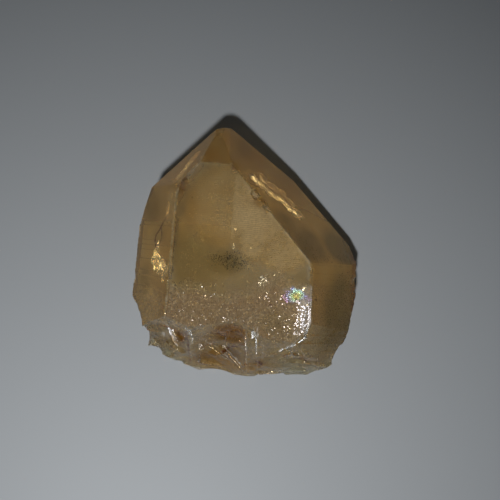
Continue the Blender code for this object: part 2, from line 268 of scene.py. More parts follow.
MARKS = {
    "milky": [
        ((0.0, 0.0, 20.0), EVERYWHERE, 0.2, FRONT),
        ((1.2, 7.6, 20.8), (6.5, 9.5, 2.0), 1.3, FRONT),
        ((0.6, 3.6, 20.8), (3.6, 6.0, 2.0), 1.35, FRONT),
        ((5.2, 1.2, 20.9), (6.0, 4.5, 2.0), 1.0, FRONT),
        ((-4.5, 7.5, 20.7), (7.5, 9.0, 2.0), 1.15, FRONT),
        ((0.0, 0.0, 0.0), EVERYWHERE, 0.85, TIP_LEFT),
        ((-12.3, 7.0, 19.0), (1.6, 4.5, 4.0), 1.3, LEFT),
        ((-13.0, 9.0, 15.0), (3.0, 3.0, 5.0), 0.7, LEFT),
        ((2.5, 10.5, 16.0), (4.6, 2.6, 5.0), 0.6, TIP_RIGHT),
        ((0.0, 0.0, 0.0), EVERYWHERE, 0.25, TIP_FRONT),
        ((0.0, 0.0, 0.0), EVERYWHERE, 0.1, TIP_RIGHT),
        ((0.0, 0.0, 0.0), EVERYWHERE, 0.1, LEFT),
        ((-14.4, -9.0, 16.0), (4.0, 5.0, 8.0), 1.0, LEFT),
        ((0.0, 0.0, 0.0), EVERYWHERE, 0.1, RIGHT),
    ],
    # Painted glow: a golden tint over the tip and side faces as wholes, and over the broken end
    "painted_golden_glow": [
        ((0.0, 0.0, 0.0), EVERYWHERE, 1.0, TIP_LEFT),
        ((0.0, 0.0, 0.0), EVERYWHERE, 1.0, TIP_RIGHT),
        ((0.0, 0.0, 0.0), EVERYWHERE, 0.9, LEFT),
        ((0.0, 0.0, 0.0), EVERYWHERE, 0.9, RIGHT),
        ((-2.0, -17.0, 6.0), (12.0, 6.0, 12.0), 1.0, ANY),
    ],
    # The first five amber rows deepen the tip face and the right side: painted shade for their darker view
    # through the stone. The last three give brown tones on the front and the break.
    "amber": [
        ((0.0, 0.0, 0.0), EVERYWHERE, 0.6, TIP_FRONT),
        ((-1.0, 17.0, 12.0), (5.0, 5.0, 8.0), 0.9, TIP_RIGHT),
        ((6.0, 12.5, 9.0), (7.0, 3.5, 6.0), 0.6, TIP_RIGHT),
        ((12.5, 6.0, 8.0), (5.0, 3.0, 6.0), 0.4, TIP_RIGHT),
        ((17.0, -4.0, 10.0), (2.5, 8.0, 6.0), 0.6, RIGHT),
        ((-10.8, 6.0, 20.7), (3.4, 7.5, 1.5), 0.45, FRONT),
        ((-1.3, -12.6, 17.0), (3.4, 2.8, 6.0), 1.0, ANY),
        ((-10.5, -14.5, 10.0), (1.4, 2.6, 6.0), 0.9, ANY),
    ],
    "smoky": [
        ((5.5, 5.6, 19.0), (4.5, 3.4, 4.0), 0.9, TIP_RIGHT),
        ((9.0, 2.4, 17.0), (5.5, 4.6, 7.0), 1.1, TIP_RIGHT),
        ((14.5, 2.5, 9.5), (6.5, 4.5, 7.0), 1.2, TIP_RIGHT),
        ((-1.9, 16.8, 14.0), (2.0, 3.0, 5.0), 0.5, TIP_RIGHT),
        ((15.2, -8.0, 13.0), (6.2, 9.5, 9.0), 1.1, ANY),
        ((-15.5, 6.5, 14.0), (2.5, 4.0, 5.0), 0.7, LEFT),
        ((-14.0, 2.6, 16.5), (2.6, 2.4, 4.0), 0.5, LEFT),
        ((-16.0, -5.0, 14.0), (1.8, 3.5, 5.0), 0.6, LEFT),
        ((-3.5, -1.2, 20.9), (4.2, 2.8, 2.0), 0.7, FRONT),
        ((-8.5, -1.5, 20.9), (6.0, 6.0, 2.0), 0.55, FRONT),
        ((5.0, -9.8, 20.9), (4.0, 3.6, 2.0), 0.4, FRONT),
        ((-1.6, -16.2, 8.0), (2.3, 2.2, 5.0), 1.0, ANY),
    ],
    "brown": [
        ((-2.0, -12.2, 16.0), (4.2, 3.4, 7.0), 1.1, ANY),
        ((-9.6, -13.4, 12.0), (1.0, 2.0, 6.0), 1.0, ANY),
        ((-11.0, 10.2, 20.6), (1.2, 2.0, 1.0), 0.8, FRONT),
        ((3.3, -17.0, 7.0), (1.2, 1.6, 5.0), 0.9, ANY),
        ((17.6, -2.0, 8.0), (1.6, 8.0, 4.0), 0.7, RIGHT),
        ((-7.2, 15.0, 19.0), (1.4, 2.2, 3.0), 0.4, TIP_FRONT),
        ((-1.6, -16.4, 8.0), (2.6, 2.0, 6.0), 0.8, ANY),
        ((-8.9, -12.6, 13.0), (1.3, 2.2, 5.0), 0.9, ANY),
        ((12.0, -15.0, 9.0), (4.0, 3.0, 6.0), 0.45, ANY),
        ((-11.6, -14.5, 9.0), (3.4, 4.0, 9.0), 0.3, ANY),
        ((-5.4, -13.6, 11.0), (2.6, 3.0, 8.0), 0.5, ANY),
        ((-5.5, -17.5, 6.0), (3.4, 2.6, 6.0), 0.7, ANY),
        ((1.2, 8.6, 20.6), (1.4, 1.2, 1.0), 0.6, ANY),
        ((-3.4, 13.7, 20.4), (1.0, 0.8, 1.0), 0.6, ANY),
    ],
    "sparkling": [
        ((8.9, -8.0, 20.9), (1.1, 3.4, 2.0), 1.0, ANY),
        ((6.5, -8.0, 20.9), (3.4, 5.4, 2.0), 0.5, ANY),
        ((1.0, -10.0, 20.5), (6.0, 2.6, 2.0), 0.35, ANY),
        ((-8.0, -7.0, 20.9), (3.0, 3.5, 2.0), 0.25, ANY),
        ((-11.5, -14.0, 10.0), (2.0, 3.0, 8.0), 0.8, ANY),
        ((8.0, -16.5, 8.0), (5.5, 2.0, 6.0), 0.4, ANY),
    ],
    # Painted sparkle: a bluish-white haze over the scar's band of sparks, a spot above it and a spot on the
    # left of the break
    "painted_sparkle": [
        ((9.2, -7.7, 20.9), (1.3, 3.9, 2.0), 0.35, ANY),
        ((7.4, -4.6, 20.9), (2.6, 0.9, 1.5), 0.2, ANY),
        ((-11.6, -13.2, 12.0), (0.7, 2.2, 5.0), 0.25, ANY),
    ],
    "rusty": [
        ((17.5, 1.5, 6.5), (1.3, 5.0, 5.0), 1.0, ANY),
        ((17.6, -5.5, 9.0), (0.9, 4.0, 4.0), 0.8, ANY),
        ((-11.1, 10.0, 20.6), (1.0, 1.3, 0.8), 1.0, ANY),
        ((-3.1, 13.7, 20.5), (0.8, 1.0, 0.8), 0.8, ANY),
        ((0.4, 9.5, 20.6), (0.7, 1.1, 0.8), 0.8, ANY),
        ((2.3, 7.9, 20.6), (0.9, 0.9, 0.8), 0.8, ANY),
        ((3.3, -17.3, 6.5), (1.1, 1.4, 3.5), 1.2, ANY),
        ((-0.8, -14.3, 12.5), (2.3, 0.7, 3.0), 0.9, ANY),
        ((-9.5, -14.0, 11.5), (1.2, 2.4, 6.0), 0.7, ANY),
    ],
}
print(len(STEPS), "steps,", len(EDGES), "edges,", len(CRACKS), "cracks,", len(MARKS), "kinds of marks")

# %% How close a place is to a mark
FADE_START = 1.6
LINE_FALL = 1.1
MARK_FALL = 1.6


def line_distance(places, line):
    """Distance from each place to a line of points, seen from above."""
    best = np.full(len(places), np.inf)
    for start, end in zip(line[:-1], line[1:]):
        start, end = np.array(start), np.array(end)
        along = end - start
        share = np.clip((places[:, :2] - start) @ along / (along @ along), 0, 1)
        best = np.minimum(best, np.linalg.norm(places[:, :2] - start - share[:, None] * along, axis=1))
    return best


def nearest_line(lines, places):
    """Distance in mm from each place to the nearest of some lines."""
    return np.min([line_distance(places, row[0]) for row in lines.values()], axis=0)


def line_strength(lines, places):
    """How strongly each place is marked by some lines, from 0 to 1."""
    total = np.zeros(len(places))
    for line, half_width, strength, *_ in lines.values():
        near = np.clip(FADE_START - LINE_FALL * line_distance(places, line) / half_width, 0, 1)
        total = np.maximum(total, strength * near)
    return total


def mark_strength(kind, places, normals):
    """Strength of one kind of soft mark at each place in mm, on skin that faces each direction."""
    total = np.zeros(len(places))
    for centre, halves, strength, facing in MARKS[kind]:
        reach = np.linalg.norm((places - np.array(centre)) / np.array(halves), axis=1)
        near = np.clip(FADE_START - MARK_FALL * reach, 0, 1)
        here = strength * near * near * (3 - 2 * near)
        if facing is not ANY:
            here[normals @ np.array(facing) < FACE_SPREAD] = 0.0
        total = np.maximum(total, here)
    return total


def waves(place, rows):
    """Add up smooth unevenness at a place in mm. Each row has a height and its waves per mm."""
    return sum(height * noise.noise(place * rate) for height, rate in rows)


# %% [markdown]
# ## The crystal's skin
#
# The solid model's mesh has long thin triangles, which can't carry fine relief. A copy of it is merged
# and its flat patches are joined up. Each patch is then filled again with an even net of triangles, by
# Delaunay's rule, which avoids thin ones. Neighbouring patches share the points on their edges, so the
# skin stays closed. The net is coarse on the clear faces, which the crystal grew, finer where the stone
# is broken or frosted, and finest beside the steps.

# %% How fine the net is at each place
COARSE_EDGE = 0.80
FINE_EDGE = 0.22
STEP_EDGE = 0.12
STEP_REACH = 0.35
STEP_START = -3.0
STEP_FOOT = 1.0
WEAR_REACH = 0.30
FRONT_LEVEL = 9.0
FROST_START = 2.0
FROST_LINE = -3.4
FROST_SLOPE = 0.16
FROST_FADE = 2.6
FROST_WANDER = ((2.2, 0.22), (0.9, 0.8))
LOW_FROST = 0.35
LEAST_FROST = 0.02


def frost_at(place):
    """How frosted the skin is at a place in mm: 0 where it is clear, 1 well below the frost line."""
    if place[1] > FROST_START:
        return 0.0
    place = Vector(place)
    depth = FROST_LINE + FROST_SLOPE * place.x + waves(place, FROST_WANDER) - place.y
    return min(1.0, max(0.0, depth / FROST_FADE)) * (1.0 if place.z > FRONT_LEVEL else LOW_FROST)


def net_size(places, is_broken):
    """The longest edge in mm that the net may have at each place."""
    sizes = np.full(len(places), FINE_EDGE if is_broken else COARSE_EDGE)
    upper = places[:, 2] > EDGE_LEVEL
    sizes[(nearest_line({**EDGES, **CRACKS}, places) < WEAR_REACH) & upper] = FINE_EDGE
    front = np.flatnonzero((places[:, 1] < FROST_START) & (places[:, 2] > FRONT_LEVEL))
    sizes[[i for i in front if frost_at(places[i]) > LEAST_FROST]] = FINE_EDGE
    on_break = (places[:, 1] < STEP_START) & (places[:, 2] > STEP_FOOT)
    sizes[(nearest_line(STEPS, places) < STEP_REACH) & on_break] = STEP_EDGE
    return sizes


# %% Fill one flat patch with an even net
ROW_SHARE = 0.866
RIM_GAP = 0.55
SAME_POINT = 1e-6
KEEP_INSIDE = 1


def points_in_patch(outline, is_broken, to_space):
    """Rows of points inside a flat outline, as close together as the net asks at each place."""
    low, high = outline.min(axis=0), outline.max(axis=0)
    start, end = outline, np.roll(outline, -1, axis=0)
    along = end - start
    chosen = []
    for size in (COARSE_EDGE, FINE_EDGE, STEP_EDGE):
        rows = np.arange(low[1], high[1], size * ROW_SHARE)
        columns = np.arange(low[0], high[0] + size, size)
        grid = np.array([(x + (row % 2) * size / 2, y) for row, y in enumerate(rows) for x in columns])
        if len(grid) == 0:
            continue
        grid = grid[net_size(to_space(grid), is_broken) == size]
        away = grid[:, None] - start
        share = np.clip((away * along).sum(2) / (along * along).sum(1), 0, 1)
        gap = np.linalg.norm(away - share[..., None] * along, axis=2).min(axis=1)
        above = (start[:, 1] > grid[:, 1:]) != (end[:, 1] > grid[:, 1:])
        rise = np.where(along[:, 1] == 0, 1, along[:, 1])
        crossing = start[:, 0] + (grid[:, 1:] - start[:, 1]) * along[:, 0] / rise
        inside = (above & (grid[:, :1] < crossing)).sum(axis=1) % 2 == 1
        chosen += list(grid[inside & (gap > RIM_GAP * size)])
    return chosen


def fill_patch(face, is_broken):
    """Return the new points of one patch, and its triangles as corner numbers."""
    corners = np.array([vert.co for vert in face.verts])
    normal = np.array(face.normal)
    across = corners[1] - corners[0]
    across -= across @ normal * normal
    across /= np.linalg.norm(across)
    axes = np.array([across, np.cross(normal, across)])
    middle = corners.mean(axis=0)
    outline = (corners - middle) @ axes.T
    inner = points_in_patch(outline, is_broken, lambda flat: flat @ axes + middle)
    flat = [Vector(point) for point in (*outline, *inner)]
    ring = list(range(len(outline)))
    filled = geometry.delaunay_2d_cdt(flat, [], [ring], KEEP_INSIDE, SAME_POINT)
    number = [names[0] if names else -1 for names in filled[3]]
    triangles = [tuple(number[corner] for corner in triangle) for triangle in filled[2]]
    return [np.array(point) @ axes + middle for point in inner], triangles


# %% Fill every patch of the solid
MERGE_DISTANCE = 0.0008
FLAT_ANGLE = math.radians(0.6)
GROWN_AREA = 4.0
GROWN_LENGTH = 3.5
BASE_LEAN = -0.3
LONGEST_SHARE = 1.4


def flat_patches(node):
    """Return the node's mesh in mm, with its flat patches joined and its edges cut short."""
    mesh = bmesh.new()
    mesh.from_mesh(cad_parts[node].data)
    bmesh.ops.scale(mesh, vec=(1 / MM,) * 3, verts=mesh.verts)
    bmesh.ops.remove_doubles(mesh, verts=mesh.verts, dist=MERGE_DISTANCE)
    bmesh.ops.dissolve_limit(mesh, angle_limit=FLAT_ANGLE, verts=mesh.verts, edges=mesh.edges)
    broken = mesh.faces.layers.int.new("broken")
    for face in mesh.faces:
        longest = max(edge.calc_length() for edge in face.edges)
        small = face.calc_area() < GROWN_AREA and longest < GROWN_LENGTH
        face[broken] = int(small or face.normal.y < BASE_LEAN)
    while True:
        edges = list(mesh.edges)
        middles = np.array([(edge.verts[0].co + edge.verts[1].co) / 2 for edge in edges])
        rough = np.array([any(face[broken] for face in edge.link_faces) for edge in edges])
        allowed = LONGEST_SHARE * np.where(rough, net_size(middles, True), net_size(middles, False))
        long_edges = [edge for edge, most in zip(edges, allowed) if edge.calc_length() > most]
        if not long_edges:
            return mesh, broken
        bmesh.ops.bisect_edges(mesh, edges=long_edges, cuts=1)


def even_mesh(node):
    """Return a closed bmesh of the node in mm, as an even net of triangles."""
    patches, broken = flat_patches(node)
    net = bmesh.new()
    net_broken = net.faces.layers.int.new("broken")
    shared = [net.verts.new(vert.co) for vert in patches.verts]
    patches.verts.index_update()
    for face in patches.faces:
        inner, triangles = fill_patch(face, bool(face[broken]))
        points = [shared[vert.index] for vert in face.verts] + [net.verts.new(place) for place in inner]
        for triangle in triangles:
            made = net.faces.new([points[corner] for corner in triangle])
            made[net_broken] = face[broken]
    patches.free()
    net.normal_update()
    return net


skin = even_mesh(NODE)
open_edges = sum(not edge.is_manifold for edge in skin.edges)
print("skin:", len(skin.faces), "triangles,", open_edges, "open edges")

# %% [markdown]
# ## Relief
#
# The broken end has curved ridges and sharp steps, the edges are chipped and worn, and the frosted
# lower front is gently uneven. Bump in the material would look flat at the outline, so all of this is
# made by moving the mesh's points. They only move inward, so the crystal never grows, and they don't
# move where the stone touches the floor.

# %% Heights of the broken and frosted relief
SUGAR_WAVES = ((0.010, 1.2), (0.003, 3.1))
WARP_RATE = 0.35
WARP_REACH = 1.6
RIDGE_RATE = 0.55
RIDGE_RISE_RATE = 0.3
RIDGE_HEIGHT = 0.16
RIPPLE_RATES = (0.5, 1.1)
RIPPLE_TURNS = 3.1
RIPPLE_HEIGHT = 0.0175
BREAK_WAVES = ((0.07, 1.3),)
RIDGE_SEED = 7

# Without a seed, the noise that warps the ridges would differ from run to run
noise.seed_set(RIDGE_SEED)


def sugar(place):
    """Height of the gentle unevenness of frosted quartz."""
    return waves(place, SUGAR_WAVES)


def shell_ridges(place):
    """Height of the curved ridges that run across a fresh break."""
    warp = place + noise.noise_vector(place * WARP_RATE) * WARP_REACH
    spot = Vector((warp.x * RIDGE_RATE, warp.y * RIDGE_RATE, warp.z * RIDGE_RISE_RATE))
    ridge = 1.0 - abs(noise.noise(spot) * 2.0)
    ripple = math.sin((warp.x * RIPPLE_RATES[0] + warp.z * RIPPLE_RATES[1]) * RIPPLE_TURNS)
    return RIDGE_HEIGHT * ridge * ridge + RIPPLE_HEIGHT * ripple + waves(place, BREAK_WAVES)


# %% Chips, and worn lines that partly carry painted edge glow, as centres, radii and depths in mm
CHIPS = [
    ((-3.1, 13.6, 20.5), 1.0, 0.30),
    ((0.4, 9.6, 20.6), 0.9, 0.28),
    ((2.3, 7.9, 20.6), 0.8, 0.25),
    ((-11.2, 10.2, 20.6), 1.3, 0.30),
    ((-10.3, 11.4, 20.4), 0.7, 0.25),
    ((4.9, 4.9, 20.7), 0.5, 0.15),
    ((9.9, -1.0, 20.8), 0.6, 0.15),
    ((16.2, 2.4, 8.5), 0.9, 0.25),
    ((17.2, -2.6, 9.2), 0.7, 0.20),
]
WEAR_DEPTH = 0.06
UPWARD = 0.08
RAGGED_MIDDLE = 0.7
RAGGED_WAVES = ((1.1, 0.8),)
CHIP_MIDDLE = 0.8
CHIP_WAVES = ((0.6, 2.2),)
CHIP_FALL = 1.3
CHIP_WEAR = 0.3
CHIP_WEAR_FALL = 2.0


def note_lines(mesh, places):
    """Give every point numbers for bruised steps, worn edges and cracks, the first two partly painted
    highlight, and return how deep the marks are in mm.
    """
    facing_up = np.array([point.normal.z for point in mesh.verts]) > UPWARD
    spots = [Vector(place) for place in places]
    ragged = np.array([RAGGED_MIDDLE + waves(spot, RAGGED_WAVES) for spot in spots])
    uneven = np.array([CHIP_MIDDLE + waves(spot, CHIP_WAVES) for spot in spots])
    upper = facing_up & (places[:, 2] > EDGE_LEVEL)
    # Bruised steps and worn edges are whitened: real crushing and wear, and partly painted highlight and edge
    # glow
    bruised_and_highlit = line_strength(STEPS, places) * ragged * facing_up
    worn = line_strength(EDGES, places) * ragged * upper
    cracked = line_strength(CRACKS, places) * facing_up
    depth = worn * WEAR_DEPTH
    for name, row in STEPS.items():
        depth += line_strength({name: row}, places) / row[2] * ragged * facing_up * row[3]
    for centre, radius, chip_depth in CHIPS:
        reach = np.linalg.norm(places - np.array(centre), axis=1) / radius
        depth = np.maximum(depth, chip_depth * np.clip(CHIP_FALL - CHIP_FALL * reach, 0, 1) * uneven)
        worn = np.maximum(worn, CHIP_WEAR * np.clip(CHIP_WEAR_FALL - CHIP_WEAR_FALL * reach, 0, 1))
    for name, values in (("bruised_and_highlit", bruised_and_highlit), ("worn", worn), ("cracked", cracked)):
        layer = mesh.verts.layers.float.new(name)
        for point, value in zip(mesh.verts, values):
            point[layer] = float(value)
    return depth


# %% Give the skin its relief
FRONT_FACING = 0.8
SIDE_FROST = 0.3
LEVEL_FACING = 0.9
LEVEL_RIDGES = 0.06
LEAST_BREAK_DEPTH = 0.05
LEAST_SUGAR_DEPTH = 0.02
BREAK_SUGAR = 1.5


def give_relief(mesh):
    """Note where the skin is frosted or broken, then move its points inward."""
    broken = mesh.faces.layers.int["broken"]
    places = np.array([point.co for point in mesh.verts])
    depths = note_lines(mesh, places)
    frost_layer = mesh.verts.layers.float.new("frosted")
    break_layer = mesh.verts.layers.float.new("broken")
    moves = []
    for point, depth in zip(mesh.verts, depths):
        place = point.co
        share = sum(face[broken] for face in point.link_faces) / len(point.link_faces)
        frost = frost_at(place) * (1.0 if point.normal.z > FRONT_FACING else SIDE_FROST)
        point[frost_layer] = frost
        point[break_layer] = share
        if share > 0:
            strength = LEVEL_RIDGES if point.normal.z > LEVEL_FACING else 1.0
            depth += share * strength * max(0.0, LEAST_BREAK_DEPTH + shell_ridges(place))
            depth += share * max(0.0, LEAST_SUGAR_DEPTH + BREAK_SUGAR * sugar(place))
        if frost > 0:
            depth += frost * max(0.0, LEAST_SUGAR_DEPTH + sugar(place))
        moves.append(point.normal * depth * min(1.0, place.z))
    for point, move in zip(mesh.verts, moves):
        point.co -= move
    print("deepest mark", round(max(move.length for move in moves), 2), "mm")


give_relief(skin)

# %% Turn the skin into the crystal piece
SHARP_ANGLE = math.radians(18)
UNDERSIDE_FALL = 4.0


def note_marks(data):
    """Give every corner of every face one number for each kind of soft mark."""
    places = np.empty(len(data.vertices) * 3, np.float32)
    data.vertices.foreach_get("co", places)
    owners = np.empty(len(data.loops), np.int32)
    data.loops.foreach_get("vertex_index", owners)
    normals = np.empty(len(data.polygons) * 3, np.float32)
    data.polygons.foreach_get("normal", normals)
    places = places.reshape(-1, 3)[owners] / MM
    normals = np.repeat(normals.reshape(-1, 3), 3, axis=0)
    numbers = {kind: mark_strength(kind, places, normals) for kind in MARKS}
    numbers["underside"] = np.clip(-UNDERSIDE_FALL * normals[:, 2], 0, 1)
    for kind, values in numbers.items():
        data.attributes.new(kind, "FLOAT", "CORNER").data.foreach_set("value", values.astype(np.float32))


def make_crystal(mesh):
    """Make the crystal object, with smooth breaks and crisp edges."""
    data = bpy.data.meshes.new("crystal")
    bmesh.ops.scale(mesh, vec=(MM,) * 3, verts=mesh.verts)
    mesh.to_mesh(data)
    mesh.free()
    data.shade_smooth()
    data.set_sharp_from_angle(angle=SHARP_ANGLE)
    note_marks(data)
    return new_object("crystal", data)


crystal = make_crystal(skin)
print("crystal", len(crystal.data.polygons), "triangles")

# %% [markdown]
# ## Citrine
#
# Citrine is quartz coloured by a trace of iron. Quartz bends light with an index of 1.544. The colour
# could be painted on the skin, but here it sits in the volume, so thick parts are deeper in tone than
# thin ones. The skin lets nearly all light through. Where it is milky, frosted, crushed or rusty it
# scatters some, which gives the eye a pale or brown veil in the shape of the marks above. Some veils and
# tints are painted light: the white of the steps and worn edges partly stands for their highlights and
# glow, a bluish-white haze for the scar's sparkle, and golden and amber tints for the glow and shade of
# the tip and side faces.

# %% Colours of citrine
QUARTZ_IOR = 1.544
DEPTH_LINEAR = (0.97, 0.725, 0.1, 1.0)
DEPTH_PER_METRE = 40.0
GLOSS_COLOUR = "#ffe6b4"
CLEAR_COLOUR = "#fefbe4"
MILK_COLOUR = "#f2d6a0"
GRIT_COLOUR = "#642c12"
# Worn edges and crushed steps are whitish: real wear, and partly painted highlight and edge glow
WORN_GLOW_COLOUR = "#ecd6ae"
CRUSHED_HIGHLIGHT_COLOUR = "#f4efe6"
# The golden tint is a painted glow, amber is partly painted shade, and the bluish-white tint is a painted
# sparkle
TINTS = [
    ("painted_golden_glow", 1.0, "#ffda92"),
    ("frosted", 0.8, "#d0b396"),
    ("amber", 1.0, "#e6b566"),
    ("smoky", 1.0, "#94865a"),
    ("brown", 1.0, "#b07a26"),
    ("painted_sparkle", 0.9, "#e6ecfa"),
]

# %% Patterns of citrine: how fine each is per metre and its detail, then fades between levels and strengths
GRAIN_SIZE = 0.30 * MM
NOISES = {"cloud": (260.0, 4.0), "speck": (1500.0, 3.0), "grain": (1 / GRAIN_SIZE, 2.0)}
STRIPE_SPACING = 0.30 * MM
STRIPE_BENDS = 3.0
WAVE_PERIOD = 0.314
ZONE_LINE = -2.9 * MM
ZONE_BLUR = 0.25 * MM
MILK_VEIL = (0.0, 0.8, 0.0, 1.0)
TINT_MOTTLE = (0.25, 0.6, 0.7, 1.0)
MILK_GRAINS = (0.3, 0.7, 0.82, 1.18)
MILK_STRIPES = (0.0, 1.0, 0.85, 1.15)
MILK_ZONES = (ZONE_LINE - ZONE_BLUR, ZONE_LINE + ZONE_BLUR, 0.6, 1.0)
# The worn and bruised fades are partly, and the sparkle fade wholly, painted highlight
MARK_FADES = {
    "rusty": ("speck", 0.42, 0.56, 0.0, 1.0),
    "cracked": ("speck", 0.3, 0.5, 0.0, 1.0),
    "worn": ("speck", 0.3, 0.6, 0.3, 0.6),
    "bruised_and_highlit": ("speck", 0.3, 0.5, 0.5, 1.0),
    "painted_sparkle": ("speck", 0.35, 0.6, 0.25, 0.5),
    "milky": ("cloud", 0.3, 0.7, 0.20, 0.34),
    "frosted": ("grain", 0.35, 0.65, 0.04, 0.18),
}
GRIT_HAZE = 0.35
CRUSHED_HIGHLIGHT_HAZE = 0.6
CLEAREST = 0.94
LEAST_CLEAR = 0.1
SKIN_ROUGHNESS = 0.04
UNDERSIDE_ROUGHNESS = 0.6
BREAK_ROUGHNESS = 0.02
CRUSHED_ROUGHNESS = 0.2

# %% A skin of tiny mirrors
CELL_SIZE = 0.128 * MM
MIDDLE = (0.5, 0.5, 0.5)
WIDEST_TILT = 0.5
LEAST_TILT = 0.16
TILT_FADE = (0.0, 1.0, 2 * WIDEST_TILT, 2 * LEAST_TILT)
MIRROR_SHARE = 0.07
MIRROR_ROUGHNESS = 0.06
SATIN_ROUGHNESS = 0.33
SATIN_FADE = (MIRROR_SHARE, MIRROR_SHARE + 0.1, MIRROR_ROUGHNESS, SATIN_ROUGHNESS)
LEAST_SPARKLE = 0.08
FROSTY_SPARKLE = 0.12
MATH = "ShaderNodeMath"
VECTOR_MATH = "ShaderNodeVectorMath"
FADE = "ShaderNodeMapRange"
SMOOTH = {"interpolation_type": "SMOOTHSTEP"}


def glittering_skin(tree, place, sparkle):
    """Tilt the skin in tiny flat cells, and return its normal and roughness. Less tilt gives more flashes."""
    cells = add(tree, "ShaderNodeTexVoronoi", {"Vector": place, "Scale": 1 / CELL_SIZE}).outputs
    chance = add(tree, "ShaderNodeTexWhiteNoise", {"Vector": cells["Position"]}).outputs["Value"]
    odds = add(tree, MATH, [sparkle, LEAST_SPARKLE], operation="DIVIDE")
    used = add(tree, MATH, [odds, chance], operation="GREATER_THAN")
    reach = add(tree, FADE, [sparkle, *TILT_FADE], **SMOOTH)
    reach = add(tree, MATH, [reach, used], operation="MULTIPLY")
    tilt = add(tree, VECTOR_MATH, [cells["Color"], MIDDLE], operation="SUBTRACT")
    tilt = add(tree, VECTOR_MATH, {0: tilt, "Scale": reach}, operation="SCALE")
    straight = add(tree, "ShaderNodeNewGeometry").outputs["Normal"]
    turned = add(tree, VECTOR_MATH, [straight, tilt], operation="ADD")
    normal = add(tree, VECTOR_MATH, [turned], operation="NORMALIZE")
    satin = add(tree, FADE, [chance, *SATIN_FADE], **SMOOTH)
    return normal, add(tree, MATH, [satin, used], operation="MULTIPLY")


# %% Citrine material
def skin_colour(tree, mark, faded, mottle, grit):
    """Lay the tints of the marks over the clear skin, one after another; some are painted glow, shade and
    sparkle.
    """
    layers = [(add(tree, FADE, [mark["milky"], *MILK_VEIL], **SMOOTH), MILK_COLOUR)]
    for kind, share, tint in TINTS:
        strength = add(tree, MATH, [mark[kind], mottle], operation="MULTIPLY")
        layers.append((add(tree, MATH, [strength, share], operation="MULTIPLY"), tint))
    # Grit is stain; the worn and crushed whites are partly painted highlight and edge glow
    layers += [(grit, GRIT_COLOUR), (faded["worn"], WORN_GLOW_COLOUR), (faded["bruised_and_highlit"], CRUSHED_HIGHLIGHT_COLOUR)]
    colour = linear(CLEAR_COLOUR)
    for share, tint in layers:
        blend = {0: share, 6: colour, 7: linear(tint)}
        colour = add(tree, "ShaderNodeMix", blend, data_type="RGBA").outputs[2]
    return colour


def citrine():
    """Make the clear brown-yellow quartz."""
    material, tree, output = new_material("natural citrine")
    kinds = ("frosted", "broken", "bruised_and_highlit", "worn", "cracked", "underside", *MARKS)
    mark = {kind: add(tree, "ShaderNodeAttribute", attribute_name=kind).outputs["Fac"] for kind in kinds}
    place = add(tree, "ShaderNodeTexCoord").outputs["Object"]
    pattern = {}
    for name, (per_metre, detail) in NOISES.items():
        settings = {"Vector": place, "Scale": per_metre, "Detail": detail}
        pattern[name] = add(tree, "ShaderNodeTexNoise", settings)
    faded = {}
    for kind, (name, *levels) in MARK_FADES.items():
        share = add(tree, FADE, [pattern[name], *levels], **SMOOTH)
        faded[kind] = add(tree, MATH, [mark[kind], share], operation="MULTIPLY")
    mottle = add(tree, FADE, [pattern["cloud"], *TINT_MOTTLE], **SMOOTH)
    grit = add(tree, MATH, [faded["rusty"], faded["cracked"]], operation="MAXIMUM")
    # Crushed steps and worn edges together: real crushing and wear, partly painted highlight and edge glow
    crushed_and_highlit = add(tree, MATH, [faded["bruised_and_highlit"], faded["worn"]], operation="MAXIMUM")
    lines = {"Scale": WAVE_PERIOD / STRIPE_SPACING, "Distortion": STRIPE_BENDS, "Detail": 2.0}
    stripes = add(tree, "ShaderNodeTexWave", {"Vector": place, **lines}, bands_direction="Y").outputs["Fac"]
    across = add(tree, "ShaderNodeSeparateXYZ", [place])
    milk = faded["milky"]
    for source, levels in ((pattern["grain"], MILK_GRAINS), (stripes, MILK_STRIPES), (across, MILK_ZONES)):
        share = add(tree, FADE, [source, *levels], **SMOOTH)
        milk = add(tree, MATH, [milk, share], operation="MULTIPLY")
    haze = faded["frosted"]
    # Milk, grit and frost scatter light; the crushed haze is partly, and the sparkle haze wholly, a painted
    # highlight
    for source, share in ((milk, 1.0), (grit, GRIT_HAZE), (crushed_and_highlit, CRUSHED_HIGHLIGHT_HAZE), (faded["painted_sparkle"], 1.0)):
        haze = add(tree, MATH, [source, share, haze], operation="MULTIPLY_ADD")
    clear = add(tree, MATH, [CLEAREST, haze], operation="SUBTRACT")
    clear = add(tree, MATH, [clear, LEAST_CLEAR], operation="MAXIMUM")
    frosty = add(tree, MATH, [mark["frosted"], FROSTY_SPARKLE], operation="MULTIPLY")
    sparkle = add(tree, MATH, [mark["sparkling"], frosty], operation="MAXIMUM")
    normal, satin = glittering_skin(tree, place, sparkle)
    rough = add(tree, MATH, [satin, SKIN_ROUGHNESS], operation="ADD")
    rougher = [(mark["underside"], UNDERSIDE_ROUGHNESS), (mark["broken"], BREAK_ROUGHNESS)]
    for source, share in (*rougher, (crushed_and_highlit, CRUSHED_ROUGHNESS)):
        rough = add(tree, MATH, [source, share, rough], operation="MULTIPLY_ADD")
    finish = {
        "Base Color": skin_colour(tree, mark, faded, mottle, grit),
        "Roughness": rough,
        "IOR": QUARTZ_IOR,
        "Specular Tint": linear(GLOSS_COLOUR),
        "Transmission Weight": clear,
        "Normal": normal,
    }
    shader = add(tree, "ShaderNodeBsdfPrincipled", finish)
    tree.links.new(shader.outputs[0], output.inputs["Surface"])
    depth = {"Color": DEPTH_LINEAR, "Density": DEPTH_PER_METRE}
    absorb = add(tree, "ShaderNodeVolumeAbsorption", depth)
    tree.links.new(absorb.outputs[0], output.inputs["Volume"])
    print("citrine:", len(tree.nodes), "nodes")
    return material


crystal.data.materials.append(citrine())
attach(crystal, "root")
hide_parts(NODE)

